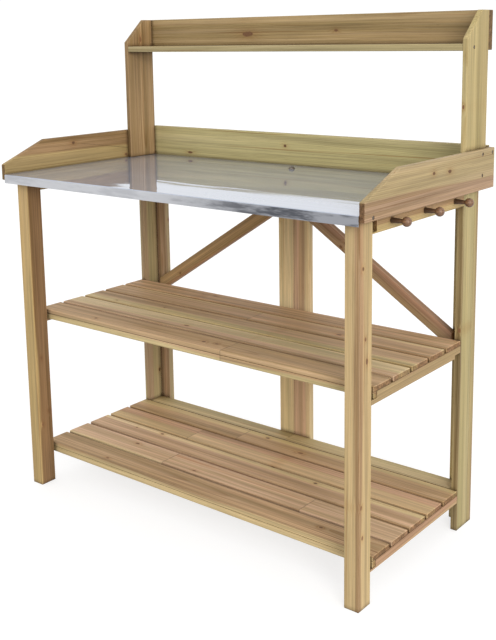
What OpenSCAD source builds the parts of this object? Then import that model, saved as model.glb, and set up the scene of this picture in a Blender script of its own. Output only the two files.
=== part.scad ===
// Potting bench in softwood: zinc-covered worktop between side boards, a raised back
// with a narrow shelf, two slatted shelves, back braces, and three turned pegs.
// Millimetres. Z is up and the front faces -Y. The origin is on the floor, midway
// between the outermost faces in X and Y.

/* [Bench] */
// Width over the side boards
bench_w = 1000; // [800:10:1400]
// Height of the work surface
work_h = 774; // [650:1:950]
// Height of the raised back
back_h = 1131; // [1000:1:1400]

/* [Board stock] */
// Thickness of the thin boards
thin_t = 12; // [9:0.5:16]
// Thickness of the boards across the back
thick_t = 18; // [14:0.5:25]
// Width of the upright boards across the back
back_board_w = 45; // [35:1:70]
// Thickness of the zinc sheet
sheet_t = 1; // [0.6:0.1:2]

/* [Legs] */
// Width of a front leg
front_leg_w = 33; // [28:1:60]
// Depth of a front leg
front_leg_d = 42; // [35:1:60]
// Thickness of a back leg
back_leg_t = 15; // [12:0.5:30]
// Depth of a back leg
back_leg_d = 50; // [40:1:70]
// Distance from the front of the front legs to the front of the back legs
back_leg_y = 402; // [300:1:550]

/* [Worktop] */
// Overhang of the worktop boards in front of the legs
overhang = 25; // [0:1:60]
// Number of worktop boards under the sheet
board_count = 4; // [4:1:4]
// Gap between worktop boards
board_gap = 1; // [0.5:0.5:4]
// Height of the folded front edge of the sheet
lip_h = 20; // [13:1:40]
// Outer radius of the sheet's front fold
fold_r = 2.5; // [1.5:0.1:4]
// Height of the back apron and the side rails under the worktop
rail_h = 32; // [25:1:70]
// Height of the front apron
apron_h = 20; // [14:1:32]
// Height of the side boards above the underside of the worktop boards
side_h = 85; // [50:1:120]
// Height of the front edge of the side boards
side_front_h = 36; // [20:1:60]
// Depth of the sloped front corner of the side boards
side_slope_d = 124; // [60:1:200]
// Height of the sloped front corner of the side boards
side_slope_h = 49; // [20:1:60]

/* [Raised back] */
// Depth of the uprights
upright_d = 92; // [60:1:140]
// Depth of the sloped top corner of the uprights
upright_cut_d = 63; // [20:1:80]
// Height of the sloped top corner of the uprights
upright_cut_h = 57.5; // [20:0.5:80]
// Height of the backsplash above the work surface
splash_h = 76; // [40:1:120]
// Height of the board behind the top shelf
top_board_h = 82; // [50:1:120]
// Thickness of the top shelf
top_shelf_t = 14; // [10:0.5:25]

/* [Slatted shelves] */
// Height of the top of the middle shelf
mid_h = 437.5; // [350:0.5:550]
// Height of the top of the low shelf
low_h = 94.5; // [70:0.5:200]
// Thickness of the slats
slat_t = 11; // [8:0.5:18]
// Width of the slats
slat_w = 63.5; // [40:0.5:67]
// Distance from the front of the legs to the first slat
shelf_y = 50; // [43:1:60]
// Height of a middle shelf rail
mid_rail_h = 23.5; // [18:0.5:40]
// Height of a low shelf rail
low_rail_h = 18; // [16:0.5:40]
// Height of a front beam under the slats
beam_h = 13.5; // [8:0.5:15]

/* [Braces] */
// Width of a brace
brace_w = 31; // [20:1:50]
// Slope of a brace, in degrees
brace_angle = 32.7; // [25:0.1:33]
// Distance from the centre of the bench to the foot of a brace
brace_foot_x = 438; // [380:1:445]
// Height of the lower corner at the foot of a brace
brace_foot_z = 403.5; // [380:0.5:450]

/* [Pegs] */
// Radius of the part of a peg that sits in the rail
peg_r = 5; // [3:0.5:8]
// Radius of a peg just outside the rail
peg_base_r = 5.6; // [5:0.1:9]
// Radius of a peg's neck, next to the ball
neck_r = 4.2; // [2.5:0.1:6]
// Radius of the ball of a peg
ball_r = 9.5; // [6:0.5:14]
// Distance from the rail to the centre of the ball
ball_out = 31.5; // [20:0.5:50]
// Height of the pegs
peg_z = 745; // [735:1:755]

/* [Screws] */
// Radius of a screw head
head_r = 3.6; // [3:0.1:5]
// Radius of a screw shank
shank_r = 1.7; // [1.2:0.1:2.5]

/* [Hidden] */

$fn = 32;

left = -1;
right = 1;

// X stations, from the centre outwards
side_out = bench_w / 2;
side_in = side_out - thin_t;
leg_out = side_in - thin_t;
front_leg_in = leg_out - front_leg_w;
back_leg_in = leg_out - back_leg_t;
rail_in = leg_out - thin_t;
corner_in = leg_out - back_board_w;

// Y stations, from the front of the front legs backwards
top_front = -overhang;
leg_back = back_leg_y + back_leg_d;
post_back = leg_back + thick_t;
top_back = post_back + 2;
rear = top_back + thick_t;
upright_front = top_back - upright_d;
back_apron_front = leg_back - thick_t;

// Z stations, from the floor up
board_top = work_h - sheet_t;
board_under = board_top - thin_t;
rail_under = board_under - rail_h;
splash_top = work_h + splash_h;
top_board_under = back_h - top_board_h;

// The axis of the sheet's front fold, and the chamfer of the board inside it
fold_y = top_front - sheet_t + fold_r;
fold_z = work_h - fold_r;
fold_ease = fold_r - sheet_t;

slat_count = 5;
slat_pitch = (back_leg_y - shelf_y - slat_w) / (slat_count - 1);
board_pitch = (top_back - top_front + board_gap) / board_count;

// The notch at the front end of a side rail, over a thin tongue
notch_d = 15;
tongue_h = 3;

// The heel notch at the back end of a middle rail
heel_d = 25;
heel_h = 8;

brace_rise = brace_foot_x * tan(brace_angle);
brace_plumb = brace_w / cos(brace_angle);
back_rail_top = low_h - 1.5;

// The pegs, by distance from the front of the front legs
peg_ys = [109, 236, 362];
peg_tip = leg_out + ball_out + ball_r;

// Screws: heads lie just under the surface of the wood
head_h = 2.6;
head_sink = 1;
side_screw_len = 21;
back_screw_len = 29;
clear = 0.5;
side_screw_yz = [
    [5, board_under + thin_t / 2],
    [435, work_h + 17.5],
    [436, work_h + 62],
    [rear - thick_t / 2, work_h + 62]
];
shelf_screw_yz = [408, top_board_under + top_shelf_t / 2];
post_screw_xz = [
    [(back_leg_in + leg_out) / 2, 120],
    [(back_leg_in + leg_out) / 2, 360],
    [(back_leg_in + leg_out) / 2, 690],
    [corner_in + 15, board_under - rail_h / 2],
    [corner_in + 15, back_rail_top - thick_t / 2],
    [back_board_w / 2, board_under - rail_h / 2],
    [back_board_w / 2, back_rail_top - thick_t / 2],
    [back_board_w / 2, brace_foot_z + (brace_foot_x - back_board_w / 2) * tan(brace_angle) + brace_plumb / 2]
];
rear_screw_xz = [
    [leg_out + thin_t / 2, top_board_under + 20],
    [leg_out + thin_t / 2, back_h - 20],
    [leg_out + thin_t / 2, work_h + 38]
];

pin_x = 23;
pin_y = 415;
pin_head_r = 7.5;
pin_head_h = 6.5;
pin_dome_r = (pow(pin_head_r, 2) + pow(pin_head_h, 2)) / (2 * pin_head_h);
pin_shank_r = 1.2;
pin_len = 9;

pale = [0.74, 0.67, 0.48];
heart = [0.60, 0.45, 0.31];
peg_brown = [0.25, 0.14, 0.08];
zinc = [0.74, 0.75, 0.78];
steel = [0.45, 0.44, 0.42];

// Puts the origin at the middle of the footprint of the whole bench
module place() {
    translate([(side_out - peg_tip) / 2, (overhang + sheet_t - rear) / 2, 0])
        children();
}

// Draws something built on the right-hand side on either side
module on(side) {
    mirror([side == left ? 1 : 0, 0, 0])
        children();
}

module slab(low, high) {
    translate(low)
        cube(high - low);
}

// An outline in Y and Z, given thickness in X
module plate_x(x, t, outline) {
    translate([x, 0, 0])
        rotate([90, 0, 90])
            linear_extrude(t)
                polygon(outline);
}

// A screw along -Z whose head is sunk below z = 0
module screw(len) {
    translate([0, 0, -head_sink - head_h])
        cylinder(r = head_r, h = head_h);
    translate([0, 0, -head_sink - len])
        cylinder(r = shank_r, h = len - head_h);
}

// The hole that a screw fills, open at z = 0
module screw_hole(len) {
    translate([0, 0, -head_sink - head_h])
        cylinder(r = head_r, h = head_h + head_sink + clear);
    translate([0, 0, -head_sink - len])
        cylinder(r = shank_r, h = len);
}

// Turns something along -Z so that it runs inwards from a side face
module from_side(x, y, z) {
    translate([x, y, z])
        rotate([0, 90, 0])
            children();
}

// Turns something along -Z so that it runs forwards from a back face
module from_back(x, y, z) {
    translate([x, y, z])
        rotate([-90, 0, 0])
            children();
}

module side_board_holes() {
    for (p = side_screw_yz)
        from_side(side_out, p[0], p[1])
            screw_hole(side_screw_len);
}

module shelf_hole() {
    from_side(side_in, shelf_screw_yz[0], shelf_screw_yz[1])
        screw_hole(side_screw_len);
}

module post_holes() {
    for (p = post_screw_xz)
        from_back(p[0], post_back, p[1])
            screw_hole(back_screw_len);
}

module rear_holes() {
    for (p = rear_screw_xz)
        from_back(p[0], rear, p[1])
            screw_hole(back_screw_len);
}

module front_leg(side) {
    color(pale)
        place()
            on(side)
                slab([front_leg_in, 0, 0], [leg_out, front_leg_d, board_under]);
}

module back_leg(side) {
    color(pale)
        place()
            on(side)
                difference() {
                    slab([back_leg_in, back_leg_y, 0], [leg_out, leg_back, board_under]);
                    post_holes();
                }
}

module corner_board(side) {
    color(pale)
        place()
            on(side)
                difference() {
                    slab([corner_in, leg_back, 0], [leg_out, post_back, board_under]);
                    post_holes();
                }
}

module centre_post(side) {
    color(heart)
        place()
            on(side)
                difference() {
                    slab([0, leg_back, 0], [back_board_w, post_back, board_under]);
                    post_holes();
                }
}

module upright(side) {
    color(pale)
        place()
            on(side)
                difference() {
                    plate_x(leg_out, thin_t, [
                        [upright_front, work_h],
                        [top_back, work_h],
                        [top_back, back_h],
                        [upright_front + upright_cut_d, back_h],
                        [upright_front, back_h - upright_cut_h]
                    ]);
                    side_board_holes();
                    shelf_hole();
                    rear_holes();
                }
}

module side_board(side) {
    color(pale)
        place()
            on(side)
                difference() {
                    plate_x(side_in, thin_t, [
                        [top_front + 1, board_under],
                        [rear, board_under],
                        [rear, board_under + side_h],
                        [top_front + 1 + side_slope_d, board_under + side_h],
                        [top_front + 1, board_under + side_front_h]
                    ]);
                    side_board_holes();
                }
}

module backsplash() {
    color(pale)
        place()
            difference() {
                slab([-side_in, top_back, board_under], [side_in, rear, splash_top]);
                for (side = [left, right])
                    on(side) {
                        side_board_holes();
                        rear_holes();
                    }
            }
}

module top_shelf() {
    color(pale)
        place()
            difference() {
                slab(
                    [-leg_out, upright_front, top_board_under],
                    [leg_out, top_back, top_board_under + top_shelf_t]
                );
                for (side = [left, right])
                    on(side)
                        shelf_hole();
            }
}

module top_back_board() {
    color(pale)
        place()
            difference() {
                slab([-side_in, top_back, top_board_under], [side_in, rear, back_h]);
                for (side = [left, right])
                    on(side)
                        rear_holes();
            }
}

module pin_hole() {
    translate([pin_x, pin_y, work_h - pin_len])
        cylinder(r = pin_shank_r, h = pin_len + clear);
}

// The chamfer that clears the inside of the sheet's fold
module front_chamfer() {
    plate_x(-side_out, bench_w, [
        [top_front - clear, board_top + clear],
        [top_front - clear, board_top - fold_ease - clear],
        [top_front + fold_ease + clear, board_top + clear]
    ]);
}

module worktop_board(i) {
    front = top_front + i * board_pitch;
    color(heart)
        place()
            difference() {
                slab([-side_in, front, board_under], [side_in, front + board_pitch - board_gap, board_top]);
                front_chamfer();
                for (side = [left, right])
                    on(side)
                        side_board_holes();
                pin_hole();
            }
}

// A round bar on the axis of the fold
module fold_bar(r, spill) {
    translate([-side_in - spill, fold_y, fold_z])
        rotate([0, 90, 0])
            cylinder(r = r, h = 2 * (side_in + spill));
}

module fold() {
    intersection() {
        difference() {
            fold_bar(fold_r, 0);
            fold_bar(fold_ease, clear);
        }
        slab([-side_in, top_front - sheet_t, fold_z], [side_in, fold_y, work_h]);
    }
}

// The sheet covers the boards and folds down over their front edge
module zinc_sheet() {
    color(zinc)
        place()
            difference() {
                union() {
                    slab([-side_in, fold_y, board_top], [side_in, top_back, work_h]);
                    fold();
                    slab([-side_in, top_front - sheet_t, work_h - lip_h], [side_in, top_front, fold_z]);
                }
                pin_hole();
            }
}

// A nail with a domed head that stands on the sheet
module sheet_pin() {
    color(steel)
        place()
            translate([pin_x, pin_y, work_h]) {
                intersection() {
                    translate([0, 0, pin_head_h - pin_dome_r])
                        sphere(r = pin_dome_r);
                    cylinder(r = pin_head_r + clear, h = pin_dome_r);
                }
                translate([0, 0, -pin_len])
                    cylinder(r = pin_shank_r, h = pin_len);
            }
}

module front_apron() {
    color(pale)
        place()
            slab(
                [-rail_in, front_leg_d + 1, board_under - apron_h],
                [rail_in, front_leg_d + 1 + thin_t, board_under]
            );
}

module back_apron() {
    color(pale)
        place()
            difference() {
                slab(
                    [-back_leg_in, back_apron_front, rail_under],
                    [back_leg_in, leg_back, board_under]
                );
                for (side = [left, right])
                    on(side)
                        post_holes();
            }
}

module top_rail() {
    difference() {
        slab([rail_in, front_leg_d, rail_under], [leg_out, back_leg_y, board_under]);
        slab(
            [rail_in - 1, front_leg_d - 1, rail_under + tongue_h],
            [leg_out + 1, front_leg_d + notch_d, board_under + 1]
        );
    }
}

// The right-hand rail under the worktop carries the pegs
module peg_rail() {
    color(heart)
        place()
            difference() {
                top_rail();
                for (y = peg_ys)
                    translate([rail_in - clear, y, peg_z])
                        rotate([0, 90, 0])
                            cylinder(r = peg_r, h = thin_t + 2 * clear);
            }
}

module side_rail_left() {
    color(heart)
        place()
            on(left)
                top_rail();
}

// A turned peg: a shaft through the rail, tapering to a neck behind the ball
module peg(y) {
    color(peg_brown)
        place()
            translate([rail_in, y, peg_z])
                rotate([0, 90, 0]) {
                    cylinder(r = peg_r, h = thin_t);
                    translate([0, 0, thin_t])
                        cylinder(r1 = peg_base_r, r2 = neck_r, h = ball_out - ball_r + 1);
                    translate([0, 0, thin_t + ball_out])
                        sphere(r = ball_r);
                }
}

// An outline in X and Z, given thickness towards the front
module brace(side) {
    color(heart)
        place()
            on(side)
                difference() {
                    translate([0, leg_back, 0])
                        rotate([90, 0, 0])
                            linear_extrude(thick_t)
                                polygon([
                                    [brace_foot_x, brace_foot_z],
                                    [brace_foot_x, brace_foot_z + brace_plumb],
                                    [0, brace_foot_z + brace_rise + brace_plumb],
                                    [0, brace_foot_z + brace_rise]
                                ]);
                    post_holes();
                }
}

module slat(top, i) {
    front = shelf_y + i * slat_pitch;
    color(heart)
        place()
            slab([-leg_out, front, top - slat_t], [leg_out, front + slat_w, top]);
}

// The front beam sits in the notches of the two shelf rails
module beam(top) {
    color(heart)
        place()
            slab(
                [-leg_out, shelf_y, top - slat_t - beam_h],
                [leg_out, shelf_y + thin_t, top - slat_t]
            );
}

module shelf_rail(side, top, height, heel) {
    under = top - slat_t - height;
    color(pale)
        place()
            on(side)
                difference() {
                    slab([rail_in, front_leg_d, under], [leg_out, back_leg_y, top - slat_t]);
                    slab(
                        [rail_in - 1, front_leg_d - 1, top - slat_t - beam_h],
                        [leg_out + 1, shelf_y + thin_t, top]
                    );
                    slab(
                        [rail_in - 1, back_leg_y - heel_d, under - 1],
                        [leg_out + 1, back_leg_y + 1, under + heel]
                    );
                }
}

// One half of the flat board between the back legs, level with the low shelf
module low_back_rail(side) {
    color(heart)
        place()
            on(side)
                difference() {
                    slab(
                        [0, leg_back - back_board_w, back_rail_top - thick_t],
                        [back_leg_in, leg_back, back_rail_top]
                    );
                    post_holes();
                }
}

module side_screws() {
    color(steel)
        place()
            for (side = [left, right])
                on(side) {
                    for (p = side_screw_yz)
                        from_side(side_out, p[0], p[1])
                            screw(side_screw_len);
                    from_side(side_in, shelf_screw_yz[0], shelf_screw_yz[1])
                        screw(side_screw_len);
                }
}

module back_screws() {
    color(steel)
        place()
            for (side = [left, right])
                on(side) {
                    for (p = post_screw_xz)
                        from_back(p[0], post_back, p[1])
                            screw(back_screw_len);
                    for (p = rear_screw_xz)
                        from_back(p[0], rear, p[1])
                            screw(back_screw_len);
                }
}

front_leg(left);  // front_leg_left
front_leg(right);  // front_leg_right
back_leg(left);  // back_leg_left
back_leg(right);  // back_leg_right
corner_board(left);  // corner_board_left
corner_board(right);  // corner_board_right
centre_post(left);  // centre_post_left
centre_post(right);  // centre_post_right
upright(left);  // upright_left
upright(right);  // upright_right
side_board(left);  // side_board_left
side_board(right);  // side_board_right
backsplash();
top_shelf();
top_back_board();
worktop_board(0);  // worktop_board_1
worktop_board(1);  // worktop_board_2
worktop_board(2);  // worktop_board_3
worktop_board(3);  // worktop_board_4
zinc_sheet();
sheet_pin();
front_apron();
back_apron();
peg_rail();
side_rail_left();
peg(peg_ys[0]);  // peg_front
peg(peg_ys[1]);  // peg_middle
peg(peg_ys[2]);  // peg_rear
brace(left);  // brace_left
brace(right);  // brace_right
slat(mid_h, 0);  // mid_slat_1
slat(mid_h, 1);  // mid_slat_2
slat(mid_h, 2);  // mid_slat_3
slat(mid_h, 3);  // mid_slat_4
slat(mid_h, 4);  // mid_slat_5
beam(mid_h);  // mid_beam
shelf_rail(left, mid_h, mid_rail_h, heel_h);  // mid_rail_left
shelf_rail(right, mid_h, mid_rail_h, heel_h);  // mid_rail_right
slat(low_h, 0);  // low_slat_1
slat(low_h, 1);  // low_slat_2
slat(low_h, 2);  // low_slat_3
slat(low_h, 3);  // low_slat_4
slat(low_h, 4);  // low_slat_5
beam(low_h);  // low_beam
shelf_rail(left, low_h, low_rail_h, 0);  // low_rail_left
shelf_rail(right, low_h, low_rail_h, 0);  // low_rail_right
low_back_rail(left);  // low_back_rail_left
low_back_rail(right);  // low_back_rail_right
side_screws();
back_screws();
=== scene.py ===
"""Potting bench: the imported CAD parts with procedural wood, zinc and steel, and detailed screws."""

import math
import random

import bmesh
import bpy
from mathutils import Matrix, Vector


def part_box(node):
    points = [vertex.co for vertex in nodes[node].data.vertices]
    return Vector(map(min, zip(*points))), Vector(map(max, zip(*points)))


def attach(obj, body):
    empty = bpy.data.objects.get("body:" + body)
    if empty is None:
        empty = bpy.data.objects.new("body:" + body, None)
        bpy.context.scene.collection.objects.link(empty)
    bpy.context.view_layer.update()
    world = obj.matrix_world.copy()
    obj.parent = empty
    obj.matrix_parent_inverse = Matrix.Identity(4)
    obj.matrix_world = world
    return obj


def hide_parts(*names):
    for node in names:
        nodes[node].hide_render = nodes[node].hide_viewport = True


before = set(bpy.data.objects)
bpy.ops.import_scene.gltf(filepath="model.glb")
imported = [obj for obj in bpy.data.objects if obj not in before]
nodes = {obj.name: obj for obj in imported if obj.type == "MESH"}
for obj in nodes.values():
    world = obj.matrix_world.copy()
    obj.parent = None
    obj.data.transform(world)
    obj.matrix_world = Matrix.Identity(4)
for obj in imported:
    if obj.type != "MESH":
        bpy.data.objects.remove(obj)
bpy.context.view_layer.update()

scene = bpy.context.scene


# ---------------------------------------------------------------- node helpers


class Graph:
    """A material's node tree, with short calls that take sockets or plain values."""

    def __init__(self, name):
        self.material = bpy.data.materials.new(name)
        self.material.use_nodes = True
        self.tree = self.material.node_tree
        self.tree.nodes.clear()
        self.shader = self.tree.nodes.new("ShaderNodeBsdfPrincipled")
        output = self.tree.nodes.new("ShaderNodeOutputMaterial")
        self.tree.links.new(self.shader.outputs["BSDF"], output.inputs["Surface"])

    def put(self, socket, value):
        if isinstance(value, bpy.types.NodeSocket):
            self.tree.links.new(value, socket)
        elif value is not None:
            if socket.type == "RGBA" and len(value) == 3:
                value = (*value, 1.0)
            socket.default_value = value

    def node(self, kind, **settings):
        made = self.tree.nodes.new(kind)
        for key, value in settings.items():
            setattr(made, key, value)
        return made

    def math(self, operation, a, b=None, c=None, clamp=False):
        made = self.node("ShaderNodeMath", operation=operation, use_clamp=clamp)
        for socket, value in zip(made.inputs, (a, b, c)):
            self.put(socket, value)
        return made.outputs[0]

    def vector(self, operation, a, b=None):
        made = self.node("ShaderNodeVectorMath", operation=operation)
        self.put(made.inputs[0], a)
        self.put(made.inputs[1], b)
        return made.outputs["Value" if operation in ("DOT_PRODUCT", "LENGTH") else "Vector"]

    def combine(self, x, y, z):
        made = self.node("ShaderNodeCombineXYZ")
        for socket, value in zip(made.inputs, (x, y, z)):
            self.put(socket, value)
        return made.outputs[0]

    def noise(self, vector, scale=1.0, detail=2.0, roughness=0.5):
        made = self.node("ShaderNodeTexNoise")
        self.put(made.inputs["Vector"], vector)
        self.put(made.inputs["Scale"], scale)
        self.put(made.inputs["Detail"], detail)
        self.put(made.inputs["Roughness"], roughness)
        return made.outputs["Fac"]

    def ramp(self, fac, stops, interpolation="LINEAR"):
        made = self.node("ShaderNodeValToRGB")
        made.color_ramp.interpolation = interpolation
        elements = made.color_ramp.elements
        while len(elements) < len(stops):
            elements.new(0.5)
        for element, (position, value) in zip(elements, stops):
            element.position = position
            colour = (value, value, value) if isinstance(value, (int, float)) else value
            element.color = (*colour, 1.0)
        self.put(made.inputs["Fac"], fac)
        return made.outputs["Color"]

    def smooth(self, value, low, high, to_low=0.0, to_high=1.0):
        made = self.node("ShaderNodeMapRange", interpolation_type="SMOOTHSTEP")
        for name, v in (("Value", value), ("From Min", low), ("From Max", high),
                        ("To Min", to_low), ("To Max", to_high)):
            self.put(made.inputs[name], v)
        return made.outputs["Result"]

    def mix(self, fac, a, b, blend="MIX"):
        made = self.node("ShaderNodeMix", data_type="RGBA", blend_type=blend)
        self.put(made.inputs["Factor"], fac)
        self.put(made.inputs[6], a)
        self.put(made.inputs[7], b)
        return made.outputs[2]

    def bump(self, height, distance, strength=1.0):
        made = self.node("ShaderNodeBump")
        made.inputs["Strength"].default_value = strength
        made.inputs["Distance"].default_value = distance
        self.put(made.inputs["Height"], height)
        return made.outputs["Normal"]

    def finish(self, **sockets):
        for name, value in sockets.items():
            self.put(self.shader.inputs[name.replace("_", " ")], value)
        return self.material


# ---------------------------------------------------------------- wood

SAP_PALE = Vector((0.57, 0.445, 0.245))
SAP_OLIVE = Vector((0.47, 0.375, 0.185))
HEART_PINK = Vector((0.49, 0.335, 0.20))
HEART_BROWN = Vector((0.36, 0.245, 0.125))
LATE_WOOD = (0.76, 0.67, 0.55)
KNOT = Vector((0.17, 0.085, 0.04))
RING_WIDTH = 0.0032
CREVICE_DEPTH = 0.011


def times(colour, factor):
    return tuple(c * f for c, f in zip(colour, factor))


def wood(name, centre, grain, across, seed, heart, pith, tone_and_painted_light=(1, 1, 1), core=(1, 1, 1), knots=(), joints=()):
    """Solid pressure-treated pine: growth rings about a pith line along the grain, with heartwood inside.

    Places are measured from the centre of the board: along the grain, across it, and through it.
    A knot is (along, across, size, stretch, on_edge).
    One on a board's edge is placed through it instead of across it.
    """
    rnd = random.Random(seed)
    g = Graph(name)
    grain = Vector(grain).normalized()
    across = Vector(across).normalized()
    through = grain.cross(across)
    place = g.vector("SUBTRACT", g.node("ShaderNodeTexCoord").outputs["Object"], tuple(centre))
    u = g.vector("DOT_PRODUCT", place, tuple(grain))
    w = g.vector("DOT_PRODUCT", place, tuple(across))
    t = g.vector("DOT_PRODUCT", place, tuple(through))

    # beyond a finger joint the board comes from another piece of timber
    along, side = u, w
    for joint in joints:
        beyond = g.math("GREATER_THAN", u, joint)
        along = g.math("MULTIPLY_ADD", beyond, 3.7, along)
        side = g.math("MULTIPLY_ADD", beyond, rnd.uniform(-0.014, 0.014), side)

    def field(cross_scale, along_scale, detail=2.0, roughness=0.5):
        """Noise that is drawn out along the grain."""
        shift = [rnd.uniform(-40, 40) for _ in range(3)]
        return g.noise(
            g.combine(
                g.math("MULTIPLY_ADD", side, cross_scale, shift[0]),
                g.math("MULTIPLY_ADD", t, cross_scale, shift[1]),
                g.math("MULTIPLY_ADD", along, along_scale, shift[2]),
            ),
            1.0, detail, roughness,
        )

    drift_w = g.math("MULTIPLY_ADD", field(6, 1.4), 0.024, -0.012)
    drift_t = g.math("MULTIPLY_ADD", field(6, 1.7), 0.024, -0.012)
    dw = g.math("SUBTRACT", g.math("ADD", side, drift_w), pith[0])
    dt = g.math("SUBTRACT", g.math("ADD", t, drift_t), pith[1])
    radius = g.math("SQRT", g.math("ADD", g.math("MULTIPLY", dw, dw), g.math("MULTIPLY", dt, dt)))
    radius = g.math("ADD", radius, g.math("MULTIPLY_ADD", field(70, 5), 0.0018, -0.0009))

    knot_mask, knot_colour, halo = None, None, None
    for ku, kw, size, stretch, on_edge in knots:
        cross = t if on_edge else w
        du = g.math("DIVIDE", g.math("SUBTRACT", u, ku), stretch)
        dv = g.math("SUBTRACT", cross, kw)
        kd = g.math("SQRT", g.math("ADD", g.math("MULTIPLY", du, du), g.math("MULTIPLY", dv, dv)))
        kd = g.math("ADD", kd, g.math("MULTIPLY_ADD", field(170, 110), size * 0.7, -size * 0.35))
        fall = g.math("DIVIDE", kd, size * 2.2)
        push = g.math("POWER", 2.718, g.math("MULTIPLY", g.math("MULTIPLY", fall, fall), -1.0))
        radius = g.math("ADD", radius, g.math("MULTIPLY", push, size * 1.5))
        solid = g.smooth(kd, size * 1.05, size * 0.7)
        swirl = g.ramp(
            g.math("FRACT", g.math("DIVIDE", kd, size * 0.3)), ((0.0, 0.6), (0.7, 1.0), (1.0, 0.65)))
        colour = g.mix(1.0, tuple(KNOT * rnd.uniform(0.9, 1.8)), swirl, "MULTIPLY")
        glow = g.math("MULTIPLY", push, 0.55)
        if knot_mask is None:
            knot_mask, knot_colour, halo = solid, colour, glow
        else:
            knot_colour = g.mix(solid, knot_colour, colour)
            knot_mask = g.math("MAXIMUM", knot_mask, solid)
            halo = g.math("MAXIMUM", halo, glow)

    pace = g.math("MULTIPLY_ADD", field(9, 0.8), 0.5, 0.75)
    late = g.ramp(
        g.math("FRACT", g.math("DIVIDE", g.math("MULTIPLY", radius, pace), RING_WIDTH)),
        ((0.0, 0.10), (0.12, 0.0), (0.55, 0.25), (0.86, 1.0), (0.95, 0.7), (1.0, 0.10)),
    )
    strength = g.smooth(field(14, 1.2), 0.3, 0.7, 0.25, 1.0)
    late = g.math("MULTIPLY", late, strength)

    edge = g.math("MULTIPLY_ADD", field(16, 1.3, 3), 0.022, -0.011)
    inner = g.smooth(g.math("ADD", radius, edge), heart + 0.0028, heart - 0.0028)
    broad = g.smooth(field(26, 0.9, 3), 0.34, 0.66)
    lines = g.smooth(field(85, 1.1, 3, 0.6), 0.36, 0.64)
    # The board's colour factor multiplies every colour below: its own tone and painted light together.
    sap = g.mix(broad, times(SAP_PALE, tone_and_painted_light), times(SAP_OLIVE, tone_and_painted_light))
    core_tone_and_painted_light = times(tone_and_painted_light, core)
    middle = g.mix(lines, times(HEART_PINK, core_tone_and_painted_light), times(HEART_BROWN, core_tone_and_painted_light))
    colour = g.mix(inner, sap, middle)
    colour = g.mix(late, colour, g.mix(1.0, colour, LATE_WOOD, "MULTIPLY"))

    streak = g.ramp(field(60, 1.0, 4, 0.62), ((0.28, 0.74), (0.5, 1.02), (0.72, 1.22)))
    colour = g.mix(1.0, colour, streak, "MULTIPLY")
    hair = g.ramp(field(260, 3.2, 3, 0.6), ((0.30, 0.82), (0.5, 1.02), (0.70, 1.14)))
    colour = g.mix(1.0, colour, hair, "MULTIPLY")
    resin = g.smooth(field(190, 1.6, 2), 0.64, 0.74, 0.0, 0.75)
    colour = g.mix(resin, colour, g.mix(1.0, colour, (0.66, 0.47, 0.36), "MULTIPLY"))
    fibre = field(620, 12, 2)
    colour = g.mix(1.0, colour, g.ramp(fibre, ((0.25, 0.87), (0.75, 1.11))), "MULTIPLY")
    pores = g.smooth(field(1300, 55, 1), 0.66, 0.74, 0.0, 0.35)
    colour = g.mix(pores, colour, g.mix(1.0, colour, (0.52, 0.44, 0.34), "MULTIPLY"))
    if knot_mask is not None:
        colour = g.mix(halo, colour, g.mix(1.0, colour, (0.80, 0.62, 0.46), "MULTIPLY"))
        colour = g.mix(knot_mask, colour, knot_colour)
    for joint in joints:
        gap = g.smooth(g.math("ABSOLUTE", g.math("SUBTRACT", u, joint)), 0.0012, 0.0004, 0.0, 0.7)
        colour = g.mix(gap, colour, (0.14, 0.09, 0.045))

    # Painted shade: the AO node darkens the colour where surfaces come close, in the gaps between slats and
    # along the lines where boards meet.
    crevice = g.node("ShaderNodeAmbientOcclusion", samples=4)
    crevice.inputs["Distance"].default_value = CREVICE_DEPTH
    crevice_shade = g.smooth(crevice.outputs["AO"], 0.93, 0.45, 0.0, 0.95)
    colour = g.mix(crevice_shade, colour, g.mix(1.0, colour, (0.20, 0.155, 0.11), "MULTIPLY"))

    normal = g.node("ShaderNodeNewGeometry").outputs["Normal"]
    cut = g.smooth(g.math("ABSOLUTE", g.vector("DOT_PRODUCT", normal, tuple(grain))), 0.72, 0.92)
    checks = g.smooth(field(180, 180, 3), 0.35, 0.65, 0.62, 1.0)
    end = g.mix(1.0, g.mix(1.0, colour, (0.60, 0.50, 0.40), "MULTIPLY"), checks, "MULTIPLY")
    colour = g.mix(cut, colour, end)

    height = g.math("ADD", g.math("MULTIPLY", late, 0.5), g.math("MULTIPLY", fibre, 0.8))
    height = g.math("SUBTRACT", height, g.math("MULTIPLY", pores, 1.2))
    rough = g.math("MULTIPLY_ADD", fibre, 0.16, 0.54)
    return g.finish(
        Base_Color=colour, Roughness=rough, IOR=1.45, Specular_IOR_Level=0.28,
        Normal=g.bump(height, 0.0002, 0.8),
    )


# ---------------------------------------------------------------- metal and pegs


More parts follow.
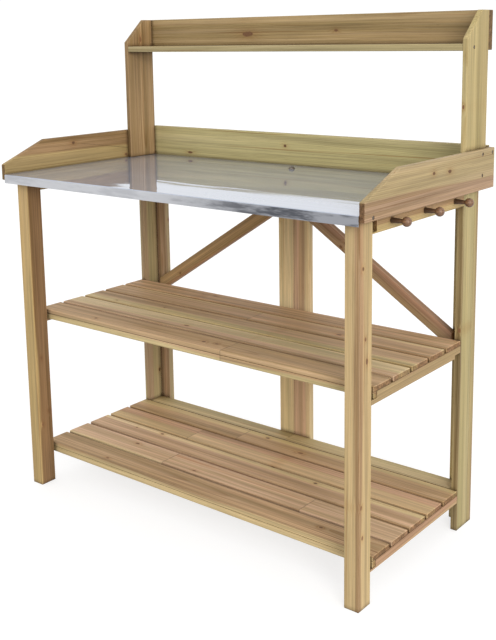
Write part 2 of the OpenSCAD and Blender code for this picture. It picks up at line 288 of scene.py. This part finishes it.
def zinc(name):
    """Bright zinc sheet: a soft mirror with rolling waves, with a painted reflection on the folded front
    edge.
    """
    g = Graph(name)
    place = g.node("ShaderNodeTexCoord").outputs["Object"]
    mapped = lambda x, y, z: g.vector("MULTIPLY", place, (x, y, z))
    streak = g.noise(mapped(2.2, 90, 60), 1.0, 4, 0.6)
    broad = g.noise(mapped(1.3, 12, 12), 1.0, 3, 0.55)
    spangle = g.node("ShaderNodeTexVoronoi", feature="F1")
    g.put(spangle.inputs["Vector"], mapped(70, 70, 70))
    colour = g.ramp(broad, ((0.3, (0.44, 0.48, 0.57)), (0.7, (0.50, 0.545, 0.64))))
    colour = g.mix(1.0, colour, g.ramp(streak, ((0.3, 0.94), (0.7, 1.03))), "MULTIPLY")
    colour = g.mix(0.05, colour, g.mix(1.0, colour, spangle.outputs["Color"], "MULTIPLY"))

    parts = g.node("ShaderNodeSeparateXYZ")
    g.put(parts.inputs[0], place)
    normal = g.node("ShaderNodeNewGeometry").outputs["Normal"]
    front = g.smooth(g.vector("DOT_PRODUCT", normal, (0.0, -1.0, 0.0)), 0.75, 0.97)
    # Painted reflection on the front lip: light grey on the left, darker towards the right and in streaky
    # smudges.
    reflection_smudges = g.noise(mapped(9, 60, 60), 1.0, 4, 0.65)
    reflection_fade = g.smooth(parts.outputs[0], -0.10, 0.30)
    bright_lip_reflection = g.mix(reflection_fade, (0.56, 0.57, 0.60), (0.30, 0.31, 0.34))
    dark_lip_reflection = g.mix(reflection_fade, (0.46, 0.47, 0.50), (0.07, 0.075, 0.09))
    lip_reflection = g.mix(g.smooth(reflection_smudges, 0.42, 0.60), bright_lip_reflection, dark_lip_reflection)
    colour = g.mix(front, colour, lip_reflection)

    rough = g.math("ADD", g.math("MULTIPLY_ADD", streak, 0.07, 0.01), g.math("MULTIPLY", front, 0.25))
    waves = g.math("ADD", g.noise(mapped(2.5, 18, 18), 1.0, 2), g.math("MULTIPLY", streak, 0.01))
    return g.finish(
        Base_Color=colour, Metallic=0.4, Roughness=rough, Normal=g.bump(waves, 0.0010, 0.4),
    )


def turned_wood(name, axis_point):
    """Dark stained wood turned about X, with fine lathe lines."""
    g = Graph(name)
    place = g.vector("SUBTRACT", g.node("ShaderNodeTexCoord").outputs["Object"], tuple(axis_point))
    streak = g.noise(g.vector("MULTIPLY", place, (35, 420, 420)), 1.0, 3, 0.6)
    cloud = g.noise(g.vector("MULTIPLY", place, (60, 60, 60)), 1.0, 2)
    parts = g.node("ShaderNodeSeparateXYZ")
    g.put(parts.inputs[0], place)
    lathe = g.math("SINE", g.math("MULTIPLY", parts.outputs[0], 9000))
    colour = g.ramp(streak, (
        (0.3, (0.07, 0.032, 0.016)), (0.55, (0.15, 0.075, 0.036)), (0.75, (0.26, 0.14, 0.068))))
    colour = g.mix(1.0, colour, g.ramp(cloud, ((0.3, 0.8), (0.7, 1.2))), "MULTIPLY")
    # Painted light and shade: the peg darkens along its shaft towards the rail and lightens on the ball.
    peg_light_and_shade = g.smooth(parts.outputs[0], 0.002, 0.010, 0.55, 1.15)
    colour = g.mix(1.0, colour, g.combine(peg_light_and_shade, peg_light_and_shade, peg_light_and_shade), "MULTIPLY")
    height = g.math("ADD", g.math("MULTIPLY", lathe, 0.15), streak)
    return g.finish(
        Base_Color=colour, Roughness=g.math("MULTIPLY_ADD", streak, 0.2, 0.32), Coat_Weight=0.2,
        Coat_Roughness=0.3, Normal=g.bump(height, 0.00015, 0.8),
    )


def steel(name):
    """Dull plated screw steel with brown tarnish."""
    g = Graph(name)
    place = g.node("ShaderNodeTexCoord").outputs["Object"]
    cloud = g.noise(place, 420, 3, 0.6)
    fine = g.noise(place, 2600, 2)
    tarnish = g.smooth(cloud, 0.42, 0.62)
    colour = g.mix(tarnish, (0.24, 0.21, 0.18), (0.08, 0.055, 0.035))
    return g.finish(
        Base_Color=colour, Metallic=g.smooth(tarnish, 0.0, 1.0, 0.95, 0.55),
        Roughness=g.math("MULTIPLY_ADD", cloud, 0.3, 0.28), Normal=g.bump(fine, 0.00008, 0.7),
    )


# ---------------------------------------------------------------- boards

X, Y, Z = Vector((1, 0, 0)), Vector((0, 1, 0)), Vector((0, 0, 1))
WELD_GAP = 0.00002
SLAT_ARRIS, BOARD_ARRIS = 0.0020, 0.0012
BRACE_SLOPE = math.radians(32.7)
BRACE_WIDTH = 0.031
EDGE_KNOT_SHARE = 0.25


def weld(name):
    modifier = nodes[name].modifiers.new("weld", "WELD")
    modifier.merge_threshold = WELD_GAP


def shape(name, arris):
    """Softens a board's arrises without touching its mesh."""
    piece = nodes[name]
    weld(name)
    merge = piece.modifiers.new("flat", "DECIMATE")
    merge.decimate_type = "DISSOLVE"
    merge.angle_limit = math.radians(1)
    bevel = piece.modifiers.new("arris", "BEVEL")
    bevel.width = arris
    bevel.segments = 3
    bevel.limit_method = "ANGLE"
    bevel.angle_limit = math.radians(50)
    bevel.use_clamp_overlap = False


def board_axes(name):
    """Centre, grain and wide direction of a board, its longest side and the next, with its three sizes."""
    if name.startswith("brace"):
        low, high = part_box(name)
        side = -1 if name.endswith("left") else 1
        slope = Vector((side * math.cos(BRACE_SLOPE), 0, -math.sin(BRACE_SLOPE)))
        sizes = ((high - low).x / math.cos(BRACE_SLOPE), BRACE_WIDTH, (high - low).y)
        return (low + high) / 2, slope, slope.cross(Y), sizes
    low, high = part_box(name)
    size = high - low
    order = sorted(range(3), key=lambda i: -size[i])
    axes = (X, Y, Z)
    return (low + high) / 2, axes[order[0]], axes[order[1]], tuple(size[i] for i in order)


def scatter_knots(rnd, sizes, count):
    """Knots at random places on a board, a few of them on its edge."""
    length, width, thickness = sizes
    knots = []
    for _ in range(count):
        on_edge = rnd.random() < EDGE_KNOT_SHARE
        reach = (thickness if on_edge else width) / 2
        along = rnd.uniform(-0.45, 0.45) * length
        across = rnd.uniform(-0.75, 0.75) * reach
        knots.append((along, across, rnd.uniform(0.0022, 0.0042), rnd.uniform(1.2, 2.0), on_edge))
    return knots


def set_material(name, material):
    for slot in nodes[name].material_slots:
        slot.material = material


# Each board's heartwood (radius about the pith), pith place, colour factor, number of knots and finger
# joints.
# Lengths are in metres. Core tints the heartwood further, and marks are knots in set places.
# The colour factor is partly each board's own tone and partly painted light: it brightens the shelf slats and
# centre posts, which sit in shade under the worktop and shelves, and dims the raised boards at the top.
LOOKS = {
    "front_leg_right": dict(
        tone_and_painted_light=(1.00, 0.95, 0.90), heart=0.0095, pith=(-0.020, -0.017),
        knots=5),
    "front_leg_left": dict(
        tone_and_painted_light=(1.08, 0.96, 0.83), core=(0.55, 0.53, 0.48), heart=0.024, pith=(0.008, -0.023),
        knots=3),
    "back_leg_right": dict(
        tone_and_painted_light=(0.92, 0.97, 0.92), core=(0.74, 0.76, 0.66), heart=0.008, pith=(-0.029, 0.0), knots=1),
    "back_leg_left": dict(tone_and_painted_light=(0.92, 0.95, 0.98), heart=0.020, pith=(-0.030, -0.020), knots=1),
    "corner_board_left": dict(tone_and_painted_light=(0.85, 0.85, 0.90), heart=0.030, pith=(0.010, -0.030), knots=1),
    "corner_board_right": dict(tone_and_painted_light=(0.92, 0.92, 0.86), heart=0.016, pith=(0.020, 0.020)),
    "centre_post_left": dict(tone_and_painted_light=(1.24, 1.28, 1.34), heart=0.010, pith=(0.026, -0.012), knots=1),
    "centre_post_right": dict(tone_and_painted_light=(1.30, 1.28, 1.38), heart=0.036, pith=(-0.026, -0.014)),
    "upright_left": dict(
        tone_and_painted_light=(0.79, 0.76, 0.64), heart=0.075, pith=(0.012, -0.030), knots=2),
    "upright_right": dict(tone_and_painted_light=(0.88, 0.90, 0.80), heart=0.016, pith=(0.046, -0.024), knots=1),
    "side_board_left": dict(
        tone_and_painted_light=(0.70, 0.64, 0.53), heart=0.034, pith=(0.040, 0.016),
        knots=3),
    "side_board_right": dict(
        tone_and_painted_light=(0.86, 0.83, 0.88), heart=0.040, pith=(-0.052, 0.012), knots=2),
    "backsplash": dict(
        tone_and_painted_light=(0.92, 1.00, 0.95), heart=0.014, pith=(-0.043, -0.008), knots=1,
        marks=((-0.35, -0.02, 0.003, 3.4, False),)),
    "top_shelf": dict(tone_and_painted_light=(0.76, 0.78, 0.80), heart=0.020, pith=(0.020, 0.024), knots=1),
    "top_back_board": dict(
        tone_and_painted_light=(0.80, 0.84, 0.72), heart=0.085, pith=(0.036, -0.040), knots=1,
        marks=((-0.15, 0.0, 0.007, 2.6, False),)),
    "peg_rail": dict(tone_and_painted_light=(1.00, 0.94, 0.84), heart=0.018, pith=(0.016, 0.012), knots=1),
    "side_rail_left": dict(tone_and_painted_light=(0.80, 0.76, 0.70), heart=0.010, pith=(0.016, 0.012)),
    "brace_left": dict(tone_and_painted_light=(0.82, 0.69, 0.60), heart=0.020, pith=(0.022, -0.012), knots=1),
    "brace_right": dict(
        tone_and_painted_light=(0.74, 0.64, 0.66), heart=0.030, pith=(0.018, -0.016), knots=2),
    "mid_slat_1": dict(
        tone_and_painted_light=(1.17, 1.17, 1.14), heart=0.050, pith=(0.000, 0.030), joints=(0.10,),
        knots=3),
    "mid_slat_2": dict(
        tone_and_painted_light=(1.34, 1.36, 1.50), heart=0.026, pith=(-0.030, 0.012), knots=2),
    "mid_slat_3": dict(
        tone_and_painted_light=(1.22, 1.21, 1.20), heart=0.036, pith=(0.024, 0.012),
        knots=3),
    "mid_slat_4": dict(tone_and_painted_light=(1.22, 1.18, 1.18), heart=0.050, pith=(-0.020, -0.018), knots=1, joints=(0.00,)),
    "mid_slat_5": dict(
        tone_and_painted_light=(1.26, 1.21, 1.19), heart=0.060, pith=(0.010, 0.024), joints=(0.25,),
        knots=2),
    "low_slat_1": dict(tone_and_painted_light=(1.06, 1.04, 1.00), heart=0.047, pith=(0.004, 0.030), knots=2),
    "low_slat_2": dict(
        tone_and_painted_light=(1.36, 1.37, 1.50), heart=0.055, pith=(0.016, -0.020), joints=(-0.15, 0.25),
        knots=2),
    "low_slat_3": dict(
        tone_and_painted_light=(1.27, 1.24, 1.32), heart=0.044, pith=(-0.026, 0.014),
        knots=3),
    "low_slat_4": dict(tone_and_painted_light=(1.18, 1.06, 1.10), heart=0.040, pith=(0.030, -0.016), joints=(-0.2,), knots=1),
    "low_slat_5": dict(
        tone_and_painted_light=(1.12, 1.08, 1.00), heart=0.030, pith=(-0.016, 0.016), joints=(-0.10,),
        knots=2),
    "low_rail_right": dict(tone_and_painted_light=(1.02, 0.90, 0.94), heart=0.016, pith=(0.008, 0.012)),
    "mid_rail_right": dict(tone_and_painted_light=(0.93, 0.83, 0.84), heart=0.008, pith=(0.018, 0.014)),
}
SAME_BOARD = {"mid_beam": "mid_slat_1", "low_beam": "low_slat_1"}
NOT_BOARDS = ("zinc_sheet", "sheet_pin", "peg_front", "peg_middle", "peg_rear", "side_screws", "back_screws")


def random_look(rnd):
    return dict(heart=rnd.uniform(0.01, 0.04), pith=(rnd.uniform(-0.03, 0.03), rnd.choice((-0.02, 0.02))))


def finish_boards():
    boards = [name for name in sorted(nodes) if name not in NOT_BOARDS]
    made = {}
    for seed, name in enumerate(boards, start=100):
        shape(name, SLAT_ARRIS if "slat" in name or "beam" in name else BOARD_ARRIS)
        if name in SAME_BOARD:
            continue
        look = dict(LOOKS.get(name) or random_look(random.Random(seed)))
        centre, grain, across, sizes = board_axes(name)
        knots = scatter_knots(random.Random(seed), sizes, look.pop("knots", 0)) + list(look.pop("marks", ()))
        made[name] = wood("wood_" + name, centre, grain, across, seed=seed, knots=knots, **look)
        set_material(name, made[name])
    for name, source in SAME_BOARD.items():
        set_material(name, made[source])


finish_boards()
set_material("zinc_sheet", zinc("zinc"))
weld("zinc_sheet")
for name in ("peg_front", "peg_middle", "peg_rear"):
    low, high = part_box(name)
    set_material(name, turned_wood("turned_" + name, (low + high) / 2))
screw_steel = steel("screw_steel")
set_material("sheet_pin", screw_steel)


# ---------------------------------------------------------------- screws

SCREW_SIDES = 24
CROSS_ARM, CROSS_HALF = 0.66, 0.15
CROSS_DEPTH, CROSS_TAPER = 0.0013, 0.5
HEAD_DEPTH = 0.0026
RIM_SHARE, RIM_DROP = 0.92, 0.0002
SHANK = 0.0017
POINT_SHARE = 0.15


def islands(name):
    """The box of each separate solid in a CAD node, as (low, high) corners."""
    bm = bmesh.new()
    bm.from_mesh(nodes[name].data)
    bmesh.ops.remove_doubles(bm, verts=bm.verts, dist=WELD_GAP)
    left, found = set(bm.verts), []
    while left:
        stack, group = [left.pop()], []
        while stack:
            vert = stack.pop()
            group.append(nodes[name].matrix_world @ vert.co)
            for edge in vert.link_edges:
                other = edge.other_vert(vert)
                if other in left:
                    left.remove(other)
                    stack.append(other)
        found.append(tuple(Vector(pick(p[i] for p in group) for i in range(3)) for pick in (min, max)))
    bm.free()
    return sorted(found, key=lambda box: tuple(box[0]))


def ring_of(bm, place, points, height):
    return [bm.verts.new(place @ Vector((x, y, height))) for x, y in points]


def skirt(bm, upper, lower):
    count = len(upper)
    for i in range(count):
        bm.faces.new((upper[i], upper[(i + 1) % count], lower[(i + 1) % count], lower[i]))


def add_screw(bm, top, outward, radius, length, turn):
    """A countersunk cross-head screw whose flat top is at top, facing outward."""
    facing = outward.to_track_quat("Z", "Y").to_matrix().to_4x4()
    place = Matrix.Translation(top) @ facing @ Matrix.Rotation(turn, 4, "Z")
    angles = [2 * math.pi * i / SCREW_SIDES for i in range(SCREW_SIDES)]
    scaled = lambda r: [(math.cos(a) * r, math.sin(a) * r) for a in angles]
    cross = []
    for quarter in range(4):
        spin = Matrix.Rotation(quarter * math.pi / 2, 2)
        for corner in ((CROSS_ARM, -CROSS_HALF), (CROSS_ARM, CROSS_HALF), (CROSS_HALF, CROSS_HALF)):
            cross.append(tuple(spin @ Vector(corner) * radius))

    rim = ring_of(bm, place, scaled(radius * RIM_SHARE), 0.0)
    edge = ring_of(bm, place, scaled(radius), -RIM_DROP)
    skirt(bm, rim, edge)
    mouth = ring_of(bm, place, cross, 0.0)
    step = SCREW_SIDES // len(mouth)
    for i, corner in enumerate(mouth):
        ahead = mouth[(i + 1) % len(mouth)]
        first = (i * step - 1) % SCREW_SIDES
        bm.faces.new((rim[first], rim[(first + 1) % SCREW_SIDES], corner))
        bm.faces.new((rim[(first + 1) % SCREW_SIDES], rim[(first + 2) % SCREW_SIDES], ahead, corner))
    floor = ring_of(bm, place, [(x * CROSS_TAPER, y * CROSS_TAPER) for x, y in cross], -CROSS_DEPTH)
    skirt(bm, mouth, floor)
    bm.faces.new(floor)

    neck = ring_of(bm, place, scaled(SHANK), -HEAD_DEPTH)
    foot = ring_of(bm, place, scaled(SHANK), -length * (1 - POINT_SHARE))
    skirt(bm, edge, neck)
    skirt(bm, neck, foot)
    tip = bm.verts.new(place @ Vector((0, 0, -length)))
    for i in range(SCREW_SIDES):
        bm.faces.new((foot[i], foot[(i + 1) % SCREW_SIDES], tip))


def make_screws(name, piece_name, outward):
    """Detailed screws in the places of a CAD node's plain ones."""
    rnd = random.Random(piece_name)
    bm = bmesh.new()
    for low, high in islands(name):
        out = outward((low + high) / 2)
        centre, half = (low + high) / 2, (high - low) / 2
        reach = abs(out.dot(half))
        radius = min(half[i] for i in range(3) if abs(out[i]) < 0.5)
        add_screw(bm, centre + out * reach, out, radius, 2 * reach, rnd.uniform(0, math.pi / 2))
    bmesh.ops.remove_doubles(bm, verts=bm.verts, dist=0.000001)
    bmesh.ops.recalc_face_normals(bm, faces=bm.faces)
    mesh = bpy.data.meshes.new(piece_name)
    bm.to_mesh(mesh)
    bm.free()
    mesh.materials.append(screw_steel)
    piece = bpy.data.objects.new(piece_name, mesh)
    scene.collection.objects.link(piece)
    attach(piece, "root")
    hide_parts(name)


make_screws("side_screws", "side_cross_head_screws", lambda p: X if p.x > 0 else -X)
make_screws("back_screws", "back_cross_head_screws", lambda p: Y)


# ---------------------------------------------------------------- floor, light, camera


def make_floor():
    mesh = bpy.data.meshes.new("floor")
    half = 30.0
    corners = [(-half, -half, 0), (half, -half, 0), (half, half, 0), (-half, half, 0)]
    mesh.from_pydata(corners, [], [(0, 1, 2, 3)])
    floor = bpy.data.objects.new("floor", mesh)
    scene.collection.objects.link(floor)
    g = Graph("floor")
    cloud = g.noise(g.node("ShaderNodeTexCoord").outputs["Object"], 1.5, 3)
    colour = g.ramp(cloud, ((0.3, 0.36), (0.7, 0.38)))
    mesh.materials.append(g.finish(
        Base_Color=colour, Roughness=0.9, Specular_IOR_Level=0.1,
        Emission_Color=(1.0, 1.0, 1.0), Emission_Strength=0.72,
    ))
    floor.visible_diffuse = False


# Brightness of the studio from straight down (0) to straight up (1)
SKY = ((0.0, 0.22), (0.42, 0.30), (0.52, 1.12), (0.74, 1.12), (1.0, 0.70))
SEEN_WHITE, MIRRORED_WHITE = 1.05, 1.1


def area(name, place, target, size, power, colour):
    light = bpy.data.lights.new(name, "AREA")
    light.shape = "DISK"
    light.size = size
    light.energy = power
    light.color = colour
    lamp = bpy.data.objects.new(name, light)
    scene.collection.objects.link(lamp)
    lamp.location = place
    lamp.rotation_euler = (Vector(target) - Vector(place)).to_track_quat("-Z", "Y").to_euler()


def make_light():
    """A pale studio: white to the camera and in reflections, and a soft sky that is dim from below."""
    world = bpy.data.worlds.new("studio")
    scene.world = world
    world.use_nodes = True
    tree = world.node_tree
    tree.nodes.clear()

    def background(strength):
        made = tree.nodes.new("ShaderNodeBackground")
        made.inputs["Color"].default_value = (1, 1, 1, 1)
        made.inputs["Strength"].default_value = strength
        return made

    def choose(chosen, otherwise, when):
        made = tree.nodes.new("ShaderNodeMixShader")
        tree.links.new(when, made.inputs[0])
        tree.links.new(otherwise, made.inputs[1])
        tree.links.new(chosen, made.inputs[2])
        return made.outputs[0]

    path = tree.nodes.new("ShaderNodeLightPath")
    height = tree.nodes.new("ShaderNodeSeparateXYZ")
    tree.links.new(tree.nodes.new("ShaderNodeTexCoord").outputs["Generated"], height.inputs[0])
    half = tree.nodes.new("ShaderNodeMath")
    half.operation = "MULTIPLY_ADD"
    half.inputs[1].default_value = half.inputs[2].default_value = 0.5
    tree.links.new(height.outputs[2], half.inputs[0])
    sky = tree.nodes.new("ShaderNodeValToRGB")
    elements = sky.color_ramp.elements
    while len(elements) < len(SKY):
        elements.new(0.5)
    for element, (position, value) in zip(elements, SKY):
        element.position = position
        element.color = (value, value, value, 1.0)
    tree.links.new(half.outputs[0], sky.inputs["Fac"])
    soft = background(1.0)
    tree.links.new(sky.outputs["Color"], soft.inputs["Color"])
    mirrored = choose(background(MIRRORED_WHITE).outputs[0], soft.outputs[0], path.outputs["Is Glossy Ray"])
    seen = choose(background(SEEN_WHITE).outputs[0], mirrored, path.outputs["Is Camera Ray"])
    output = tree.nodes.new("ShaderNodeOutputWorld")
    tree.links.new(seen, output.inputs["Surface"])
    area("key", (4.4, -3.1, 2.0), (0, 0, 0.4), 2.6, 160, (1.0, 0.98, 0.955))


CAMERA_PLACE = (1.3945, -1.7037, 1.0844)
CAMERA_YAW, CAMERA_PITCH, CAMERA_ROLL = -38.87, -10.15, -0.89
CAMERA_LENS = 55.92
CAMERA_SHIFT = (0.003, -0.165)


def make_camera():
    data = bpy.data.cameras.new("camera")
    data.sensor_width = 36
    data.lens = CAMERA_LENS
    data.shift_x, data.shift_y = CAMERA_SHIFT
    camera = bpy.data.objects.new("camera", data)
    scene.collection.objects.link(camera)
    yaw, pitch, roll = (math.radians(a) for a in (CAMERA_YAW, CAMERA_PITCH, CAMERA_ROLL))
    forward = Vector((math.sin(yaw) * math.cos(pitch), math.cos(yaw) * math.cos(pitch), math.sin(pitch)))
    level = Vector((math.cos(yaw), -math.sin(yaw), 0))
    upward = level.cross(forward)
    right = level * math.cos(roll) + upward * math.sin(roll)
    up = -level * math.sin(roll) + upward * math.cos(roll)
    turn = Matrix((right, up, -forward)).transposed().to_4x4()
    camera.matrix_world = Matrix.Translation(CAMERA_PLACE) @ turn
    scene.camera = camera


make_floor()
make_light()
make_camera()
scene.view_settings.view_transform = "Standard"
